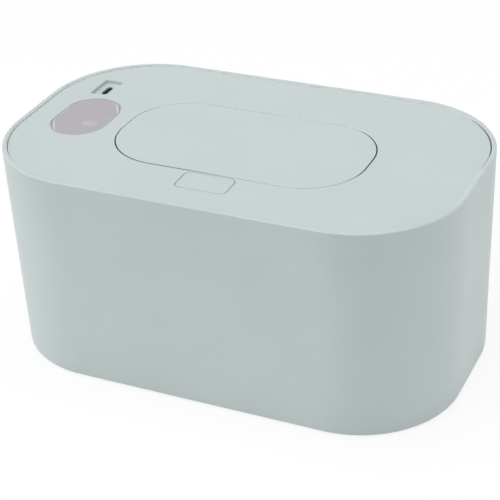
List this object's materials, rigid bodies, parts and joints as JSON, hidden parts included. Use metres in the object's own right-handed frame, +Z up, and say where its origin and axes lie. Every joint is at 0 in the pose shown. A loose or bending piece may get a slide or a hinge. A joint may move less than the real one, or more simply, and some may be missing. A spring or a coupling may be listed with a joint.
{
  "type": "baby wipe warmer",
  "caption": "Oblong tub with a lift-off heated lid: sprung dispensing flap, release button, display window and power socket.",
  "frame": {"origin": "middle of the footprint, on the surface that the feet stand on", "axes": "+X to the right along the long side, +Y to the back (the flap's hinge side), +Z up; the release button faces the user at -Y"},
  "size_m": [0.24, 0.143, 0.113],
  "materials": {
    "tub_plastic": "fine matt moulded",
    "lid_plastic": "fine matt moulded",
    "inner_plastic": "satin moulded",
    "foot_rubber": "matt",
    "silicone": "soft satin",
    "heat_aluminium": "satin",
    "film": "amber film",
    "foam": "foam",
    "black_epoxy": "gloss",
    "fuse_body": "ceramic",
    "wire_red": "wire sleeve",
    "window": "smoked gloss",
    "display_body": "matt",
    "spring_brass": "plated wire",
    "board_green": "solder mask",
    "steel": "bright",
    "socket_black": "matt",
    "chip_black": "matt",
    "capacitor_can": "satin",
    "ferrite": "matt",
    "connector_ivory": "satin",
    "spring_steel": "bright"
  },
  "bodies": {
    "tub": {"tub": "tub_plastic", "rubber_feet": "foot_rubber"},
    "lid": {"lid_cover": "lid_plastic", "lid_base": "inner_plastic", "lid_seal": "silicone", "outlet_membrane": "silicone", "heat_plate": "heat_aluminium", "heater_film": "film", "insulation_pad": "foam", "thermistor": "black_epoxy", "thermal_fuse": "fuse_body", "lead_wires": "wire_red", "display_window": "window", "digit_display": "display_body", "touch_spring": "spring_brass", "control_board": "board_green", "power_socket_shell": "steel", "power_socket_tongue": "socket_black", "controller_chip": "chip_black", "power_transistor": "chip_black", "storage_capacitor": "capacitor_can", "power_inductor": "ferrite", "wire_connectors": "connector_ivory", "board_screws": "steel", "lid_screws": "steel", "latch_spring": "spring_steel", "latch_screw": "steel", "hinge_pins": "steel", "flap_springs": "spring_steel"},
    "flap": {"flap_panel": "lid_plastic", "flap_frame": "inner_plastic", "flap_seal": "silicone"},
    "button": {"release_button": "lid_plastic"}
  },
  "joints": [
    {"name": "lid_lift", "type": "slide", "parent": "tub", "child": "lid", "axis": [0, 0, 1], "range_m": [0, 0.12]},
    {"name": "flap_hinge", "type": "hinge", "parent": "lid", "child": "flap", "pos_m": [0.0005, 0.03825, 0.1086], "axis": [-1, 0, 0], "range_deg": [0, 95], "deforming": ["flap_springs"]},
    {"name": "button_press", "type": "slide", "parent": "lid", "child": "button", "axis": [0, 0, -1], "range_m": [0, 0.0024], "stiffness_N_per_m": 400, "springref_m": -0.001, "deforming": ["latch_spring"]}
  ]
}
